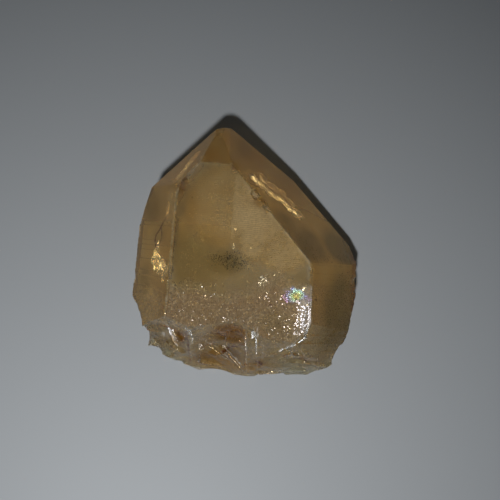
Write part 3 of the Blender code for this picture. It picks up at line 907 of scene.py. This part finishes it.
# %% [markdown]
# ## Flakes and bubbles inside
#
# Old cracks in quartz heal, and leave sheets of tiny bubbles. Others stay open as mirror flakes that
# flash. Both are many small things spread over a curved sheet, which is what Geometry Nodes do well. A
# thin guide sheet is bent in code, and the tree spreads tiny ten-sided flakes over it, in patches.

# %% A tree that spreads flakes over a guide sheet
FLAKE_INPUTS = {
    "Flakes per area": 1 / MM**2,
    "Smallest": MM,
    "Largest": MM,
    "Thickness share": 1.0,
    "Lean": math.radians(1),
    "Scatter depth": MM,
    "Patch size": MM,
    "Patch cover": 1.0,
}
PATCH_RIM = 0.12
RANDOM = "FunctionNodeRandomValue"
COMBINE = "ShaderNodeCombineXYZ"


def flake_tree():
    """Build the node group. Its inputs are real sizes in metres and angles in radians."""
    tree = bpy.data.node_groups.new("spread flakes", "GeometryNodeTree")
    floats = dict.fromkeys(FLAKE_INPUTS, "Float")
    for name, kind in {"Geometry": "Geometry", **floats, "Seed": "Int", "Material": "Material"}.items():
        tree.interface.new_socket(name, in_out="INPUT", socket_type="NodeSocket" + kind)
    tree.interface.new_socket("Geometry", in_out="OUTPUT", socket_type="NodeSocketGeometry")
    source = add(tree, "NodeGroupInput").outputs
    seed, lean, depth = source["Seed"], source["Lean"], source["Scatter depth"]
    place = add(tree, "GeometryNodeInputPosition")
    scale = add(tree, MATH, [1.0, source["Patch size"]], operation="DIVIDE")
    patches = add(tree, "ShaderNodeTexNoise", {"Vector": place, "Scale": scale, "Detail": 3.0})
    edge = add(tree, MATH, [1.0, source["Patch cover"]], operation="SUBTRACT")
    soft = add(tree, MATH, [edge, PATCH_RIM], operation="ADD")
    cover = add(tree, FADE, [patches, edge, soft])
    density = add(tree, MATH, [source["Flakes per area"], cover], operation="MULTIPLY")
    guide = {"Mesh": source["Geometry"], "Density": density, "Seed": seed}
    spread = add(tree, "GeometryNodeDistributePointsOnFaces", guide).outputs
    back = add(tree, MATH, [lean, -1.0], operation="MULTIPLY")
    least = add(tree, COMBINE, [back, back, -math.pi])
    most = add(tree, COMBINE, [lean, lean, math.pi])
    turn = add(tree, RANDOM, {0: least, 1: most, "Seed": seed}, data_type="FLOAT_VECTOR")
    turns = {"Rotation": spread["Rotation"], "Rotate By": turn}
    rotation = add(tree, "FunctionNodeRotateRotation", turns, rotation_space="LOCAL")
    sizes = {2: source["Smallest"], 3: source["Largest"], "Seed": seed}
    width = add(tree, RANDOM, sizes).outputs[1]
    thin = add(tree, MATH, [width, source["Thickness share"]], operation="MULTIPLY")
    shape = add(tree, COMBINE, [width, width, thin])
    flake = add(tree, "GeometryNodeMeshUVSphere", {"Segments": 5, "Rings": 2, "Radius": 0.5})
    shallow = add(tree, MATH, [depth, -1.0], operation="MULTIPLY")
    first = add(tree, COMBINE, [shallow, shallow, shallow])
    last = add(tree, COMBINE, [depth, depth, depth])
    shift = add(tree, RANDOM, {0: first, 1: last, "Seed": seed}, data_type="FLOAT_VECTOR")
    moved = add(tree, "GeometryNodeSetPosition", {"Geometry": spread["Points"], "Offset": shift})
    flakes = {"Points": moved, "Instance": flake, "Rotation": rotation, "Scale": shape}
    placed = add(tree, "GeometryNodeInstanceOnPoints", flakes)
    real = add(tree, "GeometryNodeRealizeInstances", {"Geometry": placed})
    made = add(tree, "GeometryNodeSetMaterial", {"Geometry": real, "Material": source["Material"]})
    add(tree, "NodeGroupOutput", [made])
    return tree


FLAKE_TREE = flake_tree()
print("flake tree:", len(FLAKE_TREE.nodes), "nodes")

# %% [markdown]
# The flakes need something to lie on. Each guide sheet is an oval with a slight bend and a torn rim,
# because a crack in quartz is curved and its edge is ragged. A sheet could be cut by hand, but a small
# function lets every crack have its own size and tilt. Parts that reach the skin are left out, so
# nothing sticks out of the stone.

# %% A curved guide sheet
SHEET_UP = Vector((0.0, 1.0, 0.0))
SPOKES_PER_RING = 3
RIM_WAVE = 0.3
RIM_TEAR = 0.45
TEAR_RATE = 2.7


def directions(normal):
    """Return two unit directions in the plane with this normal, and the normal."""
    normal = Vector(normal).normalized()
    across = SHEET_UP.cross(normal).normalized()
    return across, normal.cross(across), normal


def bent_sheet(centre, normal, halves, dish=0.0, ripple=0.0, wave=1.0, steps=14):
    """Points and faces of a bent oval sheet with a torn rim, in mm."""
    across, along, out = directions(normal)
    points = [Vector(centre)]
    spokes = steps * SPOKES_PER_RING
    for ring in range(1, steps + 1):
        for spoke in range(spokes):
            angle = 2 * math.pi * spoke / spokes
            round_rim = Vector((math.cos(angle), math.sin(angle), centre[0]))
            torn_rim = Vector((TEAR_RATE * math.cos(angle), TEAR_RATE * math.sin(angle), centre[1]))
            rim = 1 + RIM_WAVE * noise.noise(round_rim) + RIM_TEAR * noise.noise(torn_rim)
            reach = ring / steps * rim
            u = halves[0] * reach * math.cos(angle)
            v = halves[1] * reach * math.sin(angle)
            height = dish * reach * reach + ripple * noise.noise(Vector((u, v, centre[1])) / wave)
            points.append(Vector(centre) + across * u + along * v + out * height)
    faces = [(0, 1 + spoke, 1 + (spoke + 1) % spokes) for spoke in range(spokes)]
    for ring in range(steps - 1):
        start = 1 + ring * spokes
        for spoke in range(spokes):
            after = (spoke + 1) % spokes
            faces.append((start + spoke, start + spokes + spoke, start + spokes + after, start + after))
    return points, faces


# %% Keep things inside the stone
STONE_WALLS = bvhtree.BVHTree.FromPolygons(
    [vert.co / MM for vert in crystal.data.vertices],
    [tuple(polygon.vertices) for polygon in crystal.data.polygons],
)
print("stone walls from", len(crystal.data.polygons), "triangles")


def is_inside(point, margin):
    """True where a point in mm lies in the stone, at least a margin below its skin."""
    wall, normal, _, distance = STONE_WALLS.find_nearest(point)
    return (point - wall).dot(normal) < 0 and distance > margin


def make_plain(piece):
    """Give a piece the plain mesh that its modifier makes, and remove the modifier."""
    graph = bpy.context.evaluated_depsgraph_get()
    plain = bpy.data.meshes.new_from_object(piece.evaluated_get(graph))
    piece.modifiers.clear()
    piece.data = plain
    return plain


def hand_over(piece):
    """Fix a piece to the crystal, as part of its material."""
    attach(piece, "root")
    print(piece.name, len(piece.data.polygons), "faces")


# %% Flakes of each kind, in mm and degrees
# Number per mm2, smallest, largest, thickness share, lean, scatter depth, patch size and cover, seed, and how
# far they stay below the skin
FLAKES = {
    "glitter": (5.0, 0.05, 0.14, 0.02, 20, 0.2, 2.2, 0.48, 3, 0.2),
    "scar_sparkle": (12.0, 0.10, 0.36, 0.02, 9, 0.15, 1.2, 0.60, 5, 0.2),
    "front_sparkle": (9.0, 0.10, 0.34, 0.02, 4, 0.2, 0.8, 0.62, 14, 0.2),
    "base_glints": (9.0, 0.06, 0.24, 0.02, 10, 0.4, 1.6, 0.42, 31, 0.6),
    "healed_cracks": (22.0, 0.04, 0.16, 0.6, 60, 0.4, 3.0, 0.56, 8, 0.5),
    "green_cloud": (48.0, 0.05, 0.20, 0.7, 60, 0.6, 1.4, 0.58, 12, 0.5),
}


def spread_flakes(name, material, sheets):
    """Make a piece of flakes spread over the parts of guide sheets that lie in the stone."""
    *values, seed, margin = FLAKES[name]
    data = bpy.data.meshes.new(name)
    points, faces = [], []
    for sheet_points, sheet_faces in sheets:
        base = len(points)
        points += [point * MM for point in sheet_points]
        fits = [is_inside(point, margin) for point in sheet_points]
        faces += [[base + corner for corner in face] for face in sheet_faces if all(fits[i] for i in face)]
    data.from_pydata(points, [], faces)
    piece = new_object(name, data)
    modifier = piece.modifiers.new("flakes", "NODES")
    modifier.node_group = FLAKE_TREE
    items = FLAKE_TREE.interface.items_tree
    sockets = {item.name: item.identifier for item in items if item.in_out == "INPUT"}
    for (key, unit), value in zip(FLAKE_INPUTS.items(), values):
        modifier[sockets[key]] = value * unit
    modifier[sockets["Seed"]] = seed
    modifier[sockets["Material"]] = material
    make_plain(piece)
    hand_over(piece)


# %% [markdown]
# ## Finishes of the cracks
#
# The flakes that flash are open cracks. Seen from inside the quartz they mirror the light, as the
# surface of water does from below. A thin gap of air could be modelled, but its mirror needs many
# more light paths than a plain mirror colour. The bubbles of healed cracks are too small for that and
# look milky.

# %% Plain finishes
# Warm white points of light in the frost
MIRROR = plain_finish("open crack mirror", "#f4f1ea", 0.16, metallic=1.0)
# Small gold flashes, the brightest spots in the stone
GOLD_MIRROR = plain_finish("open crack mirror in amber", "#fff4d4", 0.15, metallic=1.0)
# A softer gold sheen around those flashes
GOLD_SATIN = plain_finish("open crack satin in amber", "#fff4d4", 0.20, metallic=1.0)
# A wide, dim glow behind both
GOLD_HAZE = plain_finish("deep crack haze in amber", "#ffeabc", 0.25, metallic=1.0)
# Blurred cream specks
SOFT_MIRROR = plain_finish("small open crack", "#fff4dc", 0.24, metallic=1.0)
# Cool white sparks, as on broken glass
BLUE_MIRROR = plain_finish("fresh crack mirror", "#dfe8ff", 0.2, metallic=1.0)
# A milky veil with no flash
BUBBLES = plain_finish("healed crack bubbles", "#ffedbc", 0.5)
# A dull, dark green cloud
GREEN_GRAINS = plain_finish("chlorite grains", "#2e3320", 0.6)
print(len(bpy.data.materials), "materials so far")

# %% [markdown]
# One crack near the front shows rainbow colours, because its air gap is about as thin as a wave of
# light. A thin-film shader could work them out, but the colours follow the gap's width in rings, so a
# colour ramp over the distance from the middle shows the same bands, and each band stays easy to tune.

# %% Rainbow finish
RAINBOW_COLOURS = [
    (0.00, "#f2f0a8"),
    (0.25, "#d9f07a"),
    (0.42, "#a8f0d8"),
    (0.60, "#c8f0ff"),
    (0.80, "#7a8cf0"),
    (1.00, "#b49ad8"),
]
RAINBOW_CENTRE = (8.0 * MM, -5.3 * MM, 19.6 * MM)
RAINBOW_REACH = 1.7 * MM
RAINBOW_WANDER = 0.5
RAINBOW_RATE = 900.0
RAINBOW_ROUGHNESS = 0.28
RAINBOW_SHINE = 0.9


def rainbow_finish():
    """Make the colours that thin air in a crack shows: soft rings of yellow, green, blue and violet."""
    material, tree, output = new_material("open crack with rainbow colours")
    place = add(tree, "ShaderNodeTexCoord").outputs["Object"]
    away = add(tree, VECTOR_MATH, [place, RAINBOW_CENTRE], operation="SUBTRACT")
    reach = add(tree, VECTOR_MATH, [away], operation="LENGTH").outputs["Value"]
    uneven = add(tree, "ShaderNodeTexNoise", {"Vector": place, "Scale": RAINBOW_RATE, "Detail": 2.0})
    reach = add(tree, MATH, [reach, RAINBOW_REACH], operation="DIVIDE")
    reach = add(tree, MATH, [reach, RAINBOW_WANDER / 2], operation="SUBTRACT")
    reach = add(tree, MATH, [uneven, RAINBOW_WANDER, reach], operation="MULTIPLY_ADD")
    ramp = add(tree, "ShaderNodeValToRGB", [reach])
    marks = ramp.color_ramp.elements
    while len(marks) < len(RAINBOW_COLOURS):
        marks.new(0.5)
    for mark, (position, tint) in zip(marks, RAINBOW_COLOURS):
        mark.position = position
        mark.color = linear(tint)
    finish = {"Base Color": ramp, "Roughness": RAINBOW_ROUGHNESS, "Metallic": RAINBOW_SHINE}
    shader = add(tree, "ShaderNodeBsdfPrincipled", finish)
    tree.links.new(shader.outputs[0], output.inputs["Surface"])
    return material


RAINBOW = rainbow_finish()
print("rainbow:", len(RAINBOW_COLOURS), "colours")

# %% [markdown]
# ## Glitter in the front and the scar
#
# Just under the frosted front, and in the shallow scar at its right, lie many tiny open cracks. Most
# are nearly level with the front face, so they flash together when the lamp is right. Each flake could
# be placed by hand, but a random spread with a small lean gives the same sudden sparks.

# %% Flakes in the frosted front and the scar
FRONT_FLASH = (-0.02, -0.045, 1.0)
SCAR_FLASH = (-0.03, -0.05, 1.0)
FRONT_GLINT = (-0.02, -0.06, 1.0)
TIP_GLINT = (-0.425, 0.259, 0.867)

spread_flakes(
    "glitter",
    MIRROR,
    [
        bent_sheet((-1.0, -8.5, 20.5), FRONT_FLASH, (10.5, 5.0), dish=-0.3),
        bent_sheet((6.5, -8.5, 20.2), FRONT_FLASH, (4.4, 5.2), dish=0.3),
    ],
)
scar_sheet = bent_sheet((9.1, -8.3, 20.0), SCAR_FLASH, (0.8, 3.4), dish=0.1)
spread_flakes("scar_sparkle", BLUE_MIRROR, [scar_sheet])
spread_flakes(
    "front_sparkle",
    MIRROR,
    [
        bent_sheet((2.7, -3.3, 19.5), FRONT_GLINT, (0.9, 0.9)),
        bent_sheet((3.3, -5.7, 20.0), FRONT_GLINT, (0.6, 0.4)),
        bent_sheet((-12.0, 11.1, 18.4), TIP_GLINT, (0.7, 0.4)),
    ],
)

# %% [markdown]
# ## Films
#
# Some cracks are still open over a few millimetres and look like small curved mirrors. Each is made
# from a guide sheet that gets a little thickness, so it stays a closed mesh. Smooth noise can leave
# gaps in it, as where a crack has healed in places.

# %% Films: cracks that are still open
FILM_THICKNESS = 0.03
FILM_RIM_ANGLE = math.radians(40)
GAP_RATE = 1.7
NO_GAPS = -1.0


def crack_film(name, material, sheets, margin=0.3, gaps=NO_GAPS):
    """Make a piece of thin closed films from guide sheets, where they lie in the stone."""
    made = bmesh.new()
    for points, faces in sheets:
        fits = [is_inside(point, margin) for point in points]
        kept = []
        for face in faces:
            middle = sum((points[corner] for corner in face), Vector()) / len(face)
            if all(fits[corner] for corner in face) and noise.noise(middle * GAP_RATE) > gaps:
                kept.append(face)
        used = sorted({corner for face in kept for corner in face})
        corners = {corner: made.verts.new(points[corner] * MM) for corner in used}
        for face in kept:
            made.faces.new([corners[corner] for corner in face])
    data = bpy.data.meshes.new(name)
    made.to_mesh(data)
    made.free()
    data.shade_smooth()
    piece = new_object(name, data)
    wall = piece.modifiers.new("film", "SOLIDIFY")
    wall.thickness = FILM_THICKNESS * MM
    wall.offset = 0.0
    plain = make_plain(piece)
    plain.set_sharp_from_angle(angle=FILM_RIM_ANGLE)
    plain.materials.append(material)
    hand_over(piece)


crack_film(
    "bright_specks",
    SOFT_MIRROR,
    [
        bent_sheet((-2.3, 4.1, 17.8), FRONT_GLINT, (0.20, 0.26), steps=4),
        bent_sheet((-2.3, 1.4, 17.8), FRONT_GLINT, (0.14, 0.50), steps=4),
        bent_sheet((0.4, 1.4, 17.8), FRONT_GLINT, (0.14, 0.20), steps=4),
        bent_sheet((-3.6, 7.9, 17.8), FRONT_GLINT, (0.12, 0.16), steps=4),
    ],
)
rainbow_sheet = bent_sheet((7.8, -5.2, 19.6), FRONT_GLINT, (2.0, 1.15), ripple=0.02, wave=1.5, steps=24)
crack_film("rainbow_film", RAINBOW, [rainbow_sheet], margin=0.1)

# %% [markdown]
# ## Cracks that flash
#
# A crack only flashes where it mirrors the lamp to the eye. Many random films could be tried until
# some flash, but it is surer to follow the light. The line of sight and the lamp's ray are both bent
# where they enter the quartz, and the film is turned halfway between them.

# %% A crack that flashes to an eye above the stone
EYE = Vector((0.2, 1.1, 220.0))
POINT_RIGHT_FACE = (0.649, 0.627, 0.431)
POINT_LEFT_FACE = (-0.709, 0.593, 0.380)
LEFT_FACE = (-0.861, -0.030, 0.508)
ABOVE_STONE = 40.0
DOWN = Vector((0.0, 0.0, -1.0))
AROUND = [(0.0, 0.0), (0.08, 0.0), (-0.08, 0.0), (0.0, 0.08), (0.0, -0.08)]


def skin_below(x, y):
    """Place and direction of the skin straight below a point, both in mm. None where there is no stone."""
    place, normal, _, _ = STONE_WALLS.ray_cast(Vector((x, y, ABOVE_STONE)), DOWN)
    return (place, normal) if place else None


def bend_ray(ray, normal):
    """Bend a ray that enters the quartz through skin with this normal."""
    share = 1 / QUARTZ_IOR
    facing = -ray.dot(normal)
    return share * ray + (share * facing - math.sqrt(1 - share * share * (1 - facing * facing))) * normal


def flash_sheet(spot, depth, halves, facing=None, **shape):
    """A guide sheet under a spot on the skin, tilted so that it sends the lamp's light to the eye."""
    place, _ = skin_below(*spot)
    near = [skin_below(spot[0] + x, spot[1] + y) for x, y in AROUND]
    normal = Vector(facing) if facing else sum((hit[1] for hit in near if hit), Vector())
    normal.normalize()
    sight = bend_ray((place - EYE).normalized(), normal)
    light = bend_ray((place - LAMP).normalized(), normal)
    return bent_sheet(place + sight * depth, -(sight + light), halves, **shape)


def spots_on(line, spacing):
    """Even spots along a line of points seen from above, in mm."""
    spots = []
    for start, end in zip(line[:-1], line[1:]):
        start, end = np.array(start), np.array(end)
        count = max(1, round(float(np.linalg.norm(end - start)) / spacing))
        spots += [tuple(start + (end - start) * i / count) for i in range(count)]
    return spots


# %% [markdown]
# ## Golden cracks
#
# The brightest light in the stone is gold. It comes from cracks deep in the point and behind the left
# faces, seen through the thick amber quartz. One large mirror would look like foil. So three layers
# of small films lie behind each other: little bright mirrors in front, satin ones below and a dim haze
# at the back.

# %% Golden cracks in the point and behind the left faces: spots on the skin in mm
POINT_GLOW = [(-0.2, 12.3), (0.2, 11.9), (0.9, 11.5), (1.6, 11.1), (1.2, 12.1)]
POINT_ARC = [(2.6, 10.3), (3.4, 9.7), (4.1, 9.7), (4.7, 9.3), (5.3, 8.8), (5.8, 8.1), (6.8, 7.6)]
POINT_DEEP = [(1.3, 12.6), (2.8, 11.3), (4.4, 10.4), (5.8, 9.2), (7.4, 7.4)]
LEFT_GLOW = [(-14.9, -1.9), (-14.3, -1.0), (-13.6, -1.5), (-14.5, -3.0)]
LEFT_GLOW += [(-13.7, -3.3), (-13.0, -2.9), (-12.6, -3.6), (-14.2, 0.4)]
LEFT_HALO = [(-14.3, -1.6), (-13.0, -2.6), (-12.6, -3.6)]
LEFT_WINDOW = [(-12.9, 6.0)]
LEFT_STREAKS = [(-14.6, -1.2), (-13.8, -0.6), (-13.4, -2.4), (-14.3, -3.0), (-14.0, 0.8)]
EDGE_GLOW = [(-11.7, 11.6), (-11.2, 12.2), (-10.8, 12.7), (-10.5, 13.3)]
EDGE_GLOW += [(-10.1, 13.9), (-9.7, 14.5), (-9.3, 15.1)]
EDGE_SPLINTERS = [(-11.6, 11.7), (-11.1, 12.3), (-10.7, 12.8)]

# %% Golden films: their spots, depth, half widths and dish in mm, and the face that they lie behind
WAVY = {"ripple": 0.002, "wave": 0.9, "steps": 8}
DEEP_ROWS = [
    (POINT_DEEP, 1.9, (1.3, 1.0), 0.006, POINT_RIGHT_FACE),
    (POINT_GLOW[::2] + POINT_ARC[::2], 1.6, (1.1, 0.9), 0.006, POINT_RIGHT_FACE),
    (LEFT_HALO, 1.5, (0.8, 1.6), 0.008, LEFT_FACE),
    (LEFT_WINDOW, 1.5, (0.45, 1.3), 0.012, LEFT_FACE),
    (EDGE_GLOW, 1.3, (0.7, 0.8), 0.004, POINT_LEFT_FACE),
]
SATIN_ROWS = [
    (POINT_GLOW + POINT_ARC, 1.1, (0.6, 0.55), 0.003, POINT_RIGHT_FACE),
    (LEFT_GLOW, 1.1, (0.30, 0.6), 0.004, LEFT_FACE),
    (EDGE_GLOW[:5], 0.9, (0.45, 0.5), 0.003, POINT_LEFT_FACE),
]
GOLDEN_ROWS = [
    (POINT_GLOW, 0.8, (0.30, 0.34), 0.001, POINT_RIGHT_FACE),
    (POINT_ARC, 0.8, (0.36, 0.22), 0.001, POINT_RIGHT_FACE),
    (LEFT_STREAKS, 0.8, (0.13, 0.5), 0.001, LEFT_FACE),
    (EDGE_SPLINTERS, 0.7, (0.16, 0.22), 0.001, POINT_LEFT_FACE),
]


def glow(rows):
    """Guide sheets under the spots of some rows. They are dished, so their flash fades towards the rim."""
    sheets = []
    for spots, depth, halves, dish, facing in rows:
        sheets += [flash_sheet(spot, depth, halves, facing, dish=dish, **WAVY) for spot in spots]
    return sheets


crack_film("deep_films", GOLD_HAZE, glow(DEEP_ROWS), margin=0.1)
crack_film("satin_films", GOLD_SATIN, glow(SATIN_ROWS), margin=0.1, gaps=-0.6)
crack_film("golden_films", GOLD_MIRROR, glow(GOLDEN_ROWS), margin=0.1, gaps=-0.3)

# %% [markdown]
# ## Bright lines and dust
#
# Where the end broke off, hair-fine cracks run along the steps and catch the light as white lines.
# Between them the bruised stone glitters like dust. A line could be one long strip, but it would flash
# as a whole or not at all. So it is a row of tiny cracks, each turned to the lamp for its own spot.

# %% Bright lines on the broken end: points seen from above in mm, and how many rows side by side
FLASH_LINES = [
    ([(-11.5, -11.9), (-11.3, -13.0), (-10.8, -14.2), (-10.5, -15.5)], 2),
    ([(-10.9, -12.6), (-10.5, -13.6), (-10.1, -14.8)], 1),
    ([(-8.5, -11.7), (-8.2, -12.2), (-7.7, -12.9)], 2),
    ([(-7.9, -11.8), (-7.7, -12.6), (-7.5, -14.0)], 1),
    ([(-6.4, -14.8), (-6.3, -15.8)], 3),
    ([(-5.0, -15.0), (-3.4, -16.2), (-1.8, -17.3)], 1),
    ([(-3.2, -14.5), (-1.2, -16.8), (0.8, -19.0)], 1),
    ([(1.7, -11.4), (1.9, -12.6)], 2),
    ([(2.2, -11.6), (2.4, -12.7), (2.7, -15.5)], 1),
    ([(0.6, -12.4), (1.0, -14.7), (1.3, -17.6)], 1),
    ([(9.9, -11.6), (8.9, -12.5), (7.5, -13.5), (6.4, -14.5)], 1),
    ([(10.1, -7.0), (10.2, -9.0), (10.0, -10.4), (9.8, -11.6)], 2),
]
LINE_SPACING = 0.17
ROW_SPACING = 0.20
LINE_FLASH = (0.11, 0.12)
FLASH_DEPTH = 0.16
FLASH_SPOTS = [(1.7, -17.8), (0.9, -19.2), (-2.3, -10.9), (-0.1, -13.3), (0.7, -12.6), (3.3, -12.7)]
FLASH_SPOTS += [(4.7, -10.8), (5.6, -8.6), (6.5, -10.2), (7.1, -10.1), (5.6, -5.9), (3.3, -5.7)]
FLASH_SPOTS += [(-12.4, -13.6)]
SPOT_FLASH = (0.12, 0.12)

# %% Dust: the sides of each patch in mm, and how many grains it has
DUST_PATCHES = [
    ((-12.0, -8.0), (-16.5, -11.0), 26),
    ((-8.0, 2.0), (-12.6, -9.4), 34),
    ((3.5, 13.5), (-16.5, -10.5), 44),
    ((3.5, 8.6), (-11.0, -5.0), 30),
    ((-10.8, -4.0), (-9.5, -3.5), 14),
]
SCAR_PATCH = ((8.0, 10.1), (-11.2, -6.0), 90)
SMALLEST_DUST = 0.04
LARGEST_DUST = 0.085
LARGEST_SCAR_DUST = 0.17
SCAR_SEED = 11
DUST_MARGIN = 0.03


def bright_line(line, rows):
    """Guide sheets for small cracks along a line, in some rows side by side."""
    shifts = [(row - (rows - 1) / 2) * ROW_SPACING for row in range(rows)]
    spots = [(x + shift, y) for x, y in spots_on(line, LINE_SPACING) for shift in shifts]
    return [flash_sheet(spot, FLASH_DEPTH, LINE_FLASH, steps=3) for spot in spots if skin_below(*spot)]


def dust(patch, largest, seed):
    """Guide sheets for tiny cracks at random spots in a patch."""
    chance = random.Random(seed)
    (left, right), (front, back), count = patch
    sheets = []
    for _ in range(count):
        spot = (chance.uniform(left, right), chance.uniform(front, back))
        size = chance.uniform(SMALLEST_DUST, largest)
        if all(skin_below(spot[0] + x, spot[1] + y) for x, y in AROUND):
            sheets.append(flash_sheet(spot, FLASH_DEPTH, (size, size), steps=2))
    return sheets


flashes = [sheet for line, rows in FLASH_LINES for sheet in bright_line(line, rows)]
flashes += [flash_sheet(spot, FLASH_DEPTH, SPOT_FLASH, steps=3) for spot in FLASH_SPOTS]
flashes += [sheet for seed, patch in enumerate(DUST_PATCHES) for sheet in dust(patch, LARGEST_DUST, seed)]
crack_film("bright_lines", BLUE_MIRROR, flashes, margin=DUST_MARGIN)
crack_film("scar_dust", BLUE_MIRROR, dust(SCAR_PATCH, LARGEST_SCAR_DUST, SCAR_SEED), margin=DUST_MARGIN)

# %% [markdown]
# ## Glints under the broken end
#
# Behind the broken end lie small flat cracks that opened with the same blow. They are parallel to the
# break, so they are spread over sheets with its tilt. Only a few of them are in any one patch.

# %% Small flashes under the broken end
BASE_GLINT = (-0.16, -0.53, 0.83)

spread_flakes(
    "base_glints",
    MIRROR,
    [
        bent_sheet((-11.0, -13.0, 10.5), BASE_GLINT, (1.8, 2.4)),
        bent_sheet((-6.5, -13.5, 12.0), BASE_GLINT, (2.6, 2.6)),
        bent_sheet((-1.0, -12.6, 13.0), BASE_GLINT, (2.6, 2.6)),
        bent_sheet((5.0, -13.6, 12.0), BASE_GLINT, (3.4, 2.6)),
        bent_sheet((9.5, -13.0, 11.5), BASE_GLINT, (2.6, 2.6)),
        bent_sheet((1.0, -16.0, 6.0), BASE_GLINT, (6.0, 1.6)),
    ],
)

# %% [markdown]
# ## Healed cracks and a green cloud
#
# A healed crack is a veil of tiny bubbles that hangs in the clear stone. The green cloud is a pinch of
# chlorite grains that the crystal grew around. A fog in the volume could show both, but a fog has no
# grains, and these have a fine grainy look up close. So both are round grains on wide, wavy sheets.

# %% Healed cracks and the green cloud
spread_flakes(
    "healed_cracks",
    BUBBLES,
    [
        bent_sheet((3.6, 6.0, 17.0), (0.1, 0.05, 1.0), (6.6, 9.5), dish=0.8, ripple=0.8, wave=3.0),
        bent_sheet((-1.5, 3.0, 14.0), (0.2, 0.1, 1.0), (9.0, 10.0), dish=1.2, ripple=0.8, wave=3.0),
        bent_sheet((3.0, -4.0, 11.0), (-0.3, -0.35, 1.0), (8.5, 7.0), dish=-1.6, ripple=0.9, wave=3.5),
        bent_sheet((-8.0, -6.0, 12.0), (-0.6, 0.2, 0.7), (5.5, 6.0), dish=1.0, ripple=0.8, wave=2.5),
    ],
)
spread_flakes(
    "green_cloud",
    GREEN_GRAINS,
    [
        bent_sheet((-3.2, -0.9, 16.2), (0.0, 0.1, 1.0), (2.8, 1.3), dish=0.4),
        bent_sheet((-1.6, -0.6, 15.2), (0.2, 0.1, 1.0), (2.1, 1.2), dish=0.4),
    ],
)
